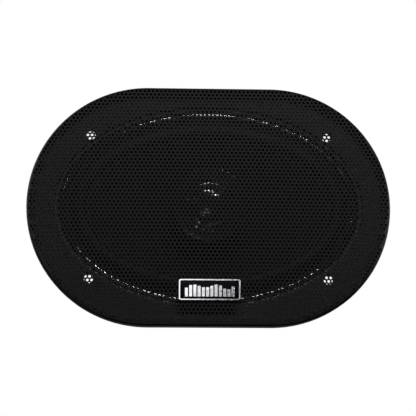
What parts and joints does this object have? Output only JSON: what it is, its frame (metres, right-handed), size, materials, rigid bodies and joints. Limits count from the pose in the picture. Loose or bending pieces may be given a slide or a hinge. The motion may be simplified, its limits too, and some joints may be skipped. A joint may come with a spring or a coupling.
{
  "type": "coaxial car speaker",
  "caption": "Oval two-way coaxial car speaker with a clip-on perforated steel grille, post-mounted dome tweeter, stamped basket and ferrite magnet.",
  "frame": {"origin": "centre of the magnet's rear face, which the speaker lies on", "axes": "+X along the long side towards the terminals, +Y across towards the side away from the badge, +Z the way the speaker fires, out of the grille"},
  "size_m": [0.167, 0.111, 0.0577],
  "materials": {
    "zinc_steel": "yellowish-grey zinc plating, satin",
    "ferrite": "sintered ferrite, dark grey, ground faces",
    "painted_steel": "black baked paint on stamped steel, semi-gloss",
    "foam": "black closed-cell foam",
    "aluminium_foil": "thin aluminium foil tube, satin",
    "copper_wire": "enamelled copper winding",
    "cone_paper": "pressed pulp with a black coating, slight sheen",
    "rubber_roll": "soft black rubber, satin",
    "gloss_black_plastic": "polished black",
    "spider_cloth": "resin-treated woven cloth, yellow-brown",
    "black_plastic": "moulded black plastic, fine grain",
    "bright_nickel": "nickel-plated magnet",
    "grille_steel": "perforated steel sheet, black satin powder coat",
    "bright_chrome": "bright chrome on plastic",
    "brown_laminate": "brown phenolic paper laminate",
    "tinned_brass": "tin-plated brass",
    "capacitor_sleeve": "dark blue shrink sleeve",
    "red_insulation": "red PVC insulation",
    "black_insulation": "black PVC insulation",
    "copper_braid": "braided copper lead"
  },
  "bodies": {
    "frame": {"t_yoke": "zinc_steel", "magnet_ring": "ferrite", "top_plate": "zinc_steel", "basket": "painted_steel", "mounting_gasket": "foam", "surround_clamp_ring": "gloss_black_plastic", "tweeter_post": "black_plastic", "post_nut": "zinc_steel", "tweeter_housing": "black_plastic", "tweeter_cup": "zinc_steel", "tweeter_magnet": "bright_nickel", "tweeter_top_plate": "zinc_steel", "tweeter_carrier": "black_plastic", "tweeter_bezel": "gloss_black_plastic", "grille_ring": "black_plastic", "terminal_board": "brown_laminate", "terminal_tab_positive": "tinned_brass", "terminal_tab_negative": "tinned_brass", "terminal_rivet_positive": "tinned_brass", "terminal_rivet_negative": "tinned_brass", "board_rivet": "zinc_steel", "crossover_capacitor": "capacitor_sleeve", "tweeter_lead_negative": "black_insulation", "tweeter_lead_positive": "red_insulation", "capacitor_lead": "copper_braid"},
    "cone_assembly": {"cone": "cone_paper", "voice_coil_former": "aluminium_foil", "voice_coil": "copper_wire", "dust_seal": "foam", "surround": "rubber_roll", "spider": "spider_cloth", "tinsel_lead_positive": "copper_braid", "tinsel_lead_negative": "copper_braid"},
    "tweeter_diaphragm": {"tweeter_dome": "gloss_black_plastic", "tweeter_coil": "copper_wire"},
    "grille": {"grille_mesh": "grille_steel", "badge_frame": "bright_chrome", "badge_inlay": "gloss_black_plastic", "badge_clip_left": "zinc_steel", "badge_clip_right": "zinc_steel"}
  },
  "joints": [
    {"name": "cone_travel", "type": "slide", "parent": "frame", "child": "cone_assembly", "axis": [0, 0, 1], "range_m": [-0.0025, 0.0025], "stiffness_N_per_m": 2000, "deforming": ["surround", "spider", "tinsel_lead_positive", "tinsel_lead_negative"]},
    {"name": "tweeter_travel", "type": "slide", "parent": "frame", "child": "tweeter_diaphragm", "axis": [0, 0, 1], "range_m": [-0.0003, 0.0003], "stiffness_N_per_m": 1000},
    {"name": "grille_release", "type": "slide", "parent": "frame", "child": "grille", "axis": [0, 0, 1], "range_m": [0, 0.03]}
  ]
}
